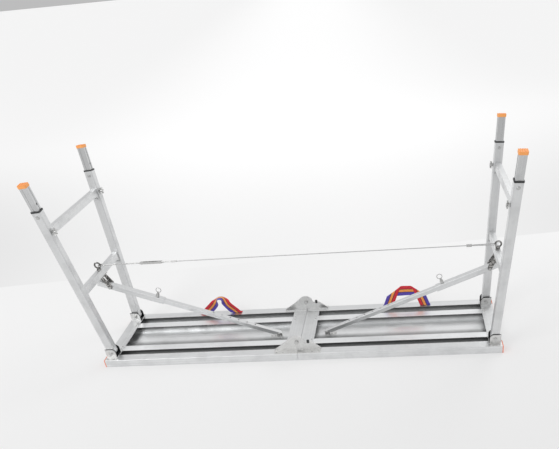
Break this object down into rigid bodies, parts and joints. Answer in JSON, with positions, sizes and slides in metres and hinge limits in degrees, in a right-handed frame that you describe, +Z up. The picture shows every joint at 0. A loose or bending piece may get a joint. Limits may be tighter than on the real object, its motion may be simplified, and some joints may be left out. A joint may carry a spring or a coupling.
{
  "type": "folding work platform",
  "caption": "Folding aluminium work platform lying on its walking face, with splayed telescopic legs, sliding braces and webbing carry handles.",
  "frame": {"origin": "the centre of the bounding box's underside, on the walking face that the platform lies on", "axes": "+X runs along the deck from the left leg frame to the right one, +Y from the front edge to the edge with the handles, +Z up from the walking face to the feet"},
  "size_m": [1.8656, 0.53, 0.897],
  "materials": {
    "aluminium": "satin mill finish with lengthwise extrusion lines",
    "zinc_steel": "zinc-plated pressed sheet",
    "bright_steel": "bright zinc-plated fasteners",
    "dark_steel": "dark oiled steel",
    "rope_steel": "galvanised wire rope",
    "black_plastic": "matte black moulded plastic",
    "orange_plastic": "soft orange moulded plastic",
    "red_plastic": "orange-red moulded plastic",
    "webbing": "woven webbing in red, orange and purple stripes"
  },
  "bodies": {
    "left_deck": {"left_front_rail": "aluminium", "left_rear_rail": "aluminium", "left_plank": "aluminium", "left_end_beam": "aluminium", "left_centre_beam": "aluminium", "left_hinge_plates": "zinc_steel", "left_rail_caps": "red_plastic", "left_leg_brackets": "zinc_steel", "left_bracket_liners": "black_plastic", "left_leg_pivot_bolts": "bright_steel", "left_brace_anchor": "zinc_steel", "left_deck_fasteners": "bright_steel", "left_handle": "webbing", "hinge_bolts": "bright_steel", "wire_rope": "rope_steel", "rope_fittings": "rope_steel"},
    "right_deck": {"right_front_rail": "aluminium", "right_rear_rail": "aluminium", "right_plank": "aluminium", "right_end_beam": "aluminium", "right_centre_beam": "aluminium", "right_hinge_plates": "zinc_steel", "right_rail_caps": "red_plastic", "right_leg_brackets": "zinc_steel", "right_bracket_liners": "black_plastic", "right_leg_pivot_bolts": "bright_steel", "right_brace_anchor": "zinc_steel", "right_deck_fasteners": "bright_steel", "right_handle": "webbing", "hinge_stops": "black_plastic"},
    "left_leg": {"left_leg_tubes": "aluminium", "left_crossbars": "aluminium", "left_tube_guides": "black_plastic", "left_leg_fasteners": "bright_steel", "left_eye_bolt": "dark_steel", "left_brace_bracket": "zinc_steel"},
    "left_sleeve": {"left_brace_sleeve": "aluminium"},
    "left_rod": {"left_brace_rod": "aluminium"},
    "left_brace_pin": {"left_brace_pin": "bright_steel"},
    "left_front_foot": {"left_front_foot": "aluminium", "left_front_foot_cap": "orange_plastic"},
    "left_front_lock_pin": {"left_front_lock_pin": "bright_steel"},
    "left_rear_foot": {"left_rear_foot": "aluminium", "left_rear_foot_cap": "orange_plastic"},
    "left_rear_lock_pin": {"left_rear_lock_pin": "bright_steel"},
    "right_leg": {"right_leg_tubes": "aluminium", "right_crossbars": "aluminium", "right_tube_guides": "black_plastic", "right_leg_fasteners": "bright_steel", "right_eye_bolt": "dark_steel", "right_brace_bracket": "zinc_steel"},
    "right_sleeve": {"right_brace_sleeve": "aluminium"},
    "right_rod": {"right_brace_rod": "aluminium"},
    "right_brace_pin": {"right_brace_pin": "bright_steel"},
    "right_front_foot": {"right_front_foot": "aluminium", "right_front_foot_cap": "orange_plastic"},
    "right_front_lock_pin": {"right_front_lock_pin": "bright_steel"},
    "right_rear_foot": {"right_rear_foot": "aluminium", "right_rear_foot_cap": "orange_plastic"},
    "right_rear_lock_pin": {"right_rear_lock_pin": "bright_steel"}
  },
  "joints": [
    {"name": "deck_fold", "type": "hinge", "parent": "left_deck", "child": "right_deck", "pos_m": [0, 0, 0.082], "axis": [0, -1, 0], "range_deg": [0, 90]},
    {"name": "left_leg_fold", "type": "hinge", "parent": "left_deck", "child": "left_leg", "pos_m": [-0.866, 0, 0.06], "axis": [0, 1, 0], "range_deg": [0, 93.4], "deforming": ["wire_rope", "rope_fittings", "left_handle"]},
    {"name": "left_sleeve_turn", "type": "hinge", "parent": "left_leg", "child": "left_sleeve", "pos_m": [-0.85467, 0, 0.31612], "axis": [0, -1, 0], "range_deg": [0, 113.61]},
    {"name": "left_rod_slide", "type": "slide", "parent": "left_sleeve", "child": "left_rod", "axis": [-0.9279, 0, 0.3727], "range_m": [0, 0.3009]},
    {"name": "left_brace_pin_pull", "type": "slide", "parent": "left_sleeve", "child": "left_brace_pin", "axis": [0.3727, 0, 0.9279], "range_m": [0, 0.006], "stiffness_N_per_m": 900},
    {"name": "left_front_foot_slide", "type": "slide", "parent": "left_leg", "child": "left_front_foot", "axis": [0.0589, 0.1104, -0.9921], "range_m": [-0.16, 0.078]},
    {"name": "left_front_lock_pin_pull", "type": "slide", "parent": "left_leg", "child": "left_front_lock_pin", "axis": [0.9982, 0, 0.0593], "range_m": [0, 0.006], "stiffness_N_per_m": 900},
    {"name": "left_rear_foot_slide", "type": "slide", "parent": "left_leg", "child": "left_rear_foot", "axis": [0.0589, -0.1104, -0.9921], "range_m": [-0.16, 0.078]},
    {"name": "left_rear_lock_pin_pull", "type": "slide", "parent": "left_leg", "child": "left_rear_lock_pin", "axis": [0.9982, 0, 0.0593], "range_m": [0, 0.006], "stiffness_N_per_m": 900},
    {"name": "right_leg_fold", "type": "hinge", "parent": "right_deck", "child": "right_leg", "pos_m": [0.866, 0, 0.06], "axis": [0, -1, 0], "range_deg": [0, 93.4], "deforming": ["right_handle"]},
    {"name": "right_sleeve_turn", "type": "hinge", "parent": "right_leg", "child": "right_sleeve", "pos_m": [0.85467, 0, 0.31612], "axis": [0, 1, 0], "range_deg": [0, 113.61]},
    {"name": "right_rod_slide", "type": "slide", "parent": "right_sleeve", "child": "right_rod", "axis": [0.9279, 0, 0.3727], "range_m": [0, 0.3009]},
    {"name": "right_brace_pin_pull", "type": "slide", "parent": "right_sleeve", "child": "right_brace_pin", "axis": [-0.3727, 0, 0.9279], "range_m": [0, 0.006], "stiffness_N_per_m": 900},
    {"name": "right_front_foot_slide", "type": "slide", "parent": "right_leg", "child": "right_front_foot", "axis": [-0.0589, 0.1104, -0.9921], "range_m": [-0.16, 0.078]},
    {"name": "right_front_lock_pin_pull", "type": "slide", "parent": "right_leg", "child": "right_front_lock_pin", "axis": [-0.9982, 0, 0.0593], "range_m": [0, 0.006], "stiffness_N_per_m": 900},
    {"name": "right_rear_foot_slide", "type": "slide", "parent": "right_leg", "child": "right_rear_foot", "axis": [-0.0589, -0.1104, -0.9921], "range_m": [-0.16, 0.078]},
    {"name": "right_rear_lock_pin_pull", "type": "slide", "parent": "right_leg", "child": "right_rear_lock_pin", "axis": [-0.9982, 0, 0.0593], "range_m": [0, 0.006], "stiffness_N_per_m": 900}
  ],
  "couplings": [
    {"joint": "left_sleeve_turn", "follows": "left_leg_fold", "ratio": 1.2164},
    {"joint": "left_rod_slide", "follows": "left_leg_fold", "m_per_rad": 0.18459},
    {"joint": "right_sleeve_turn", "follows": "right_leg_fold", "ratio": 1.2164},
    {"joint": "right_rod_slide", "follows": "right_leg_fold", "m_per_rad": 0.18459}
  ]
}
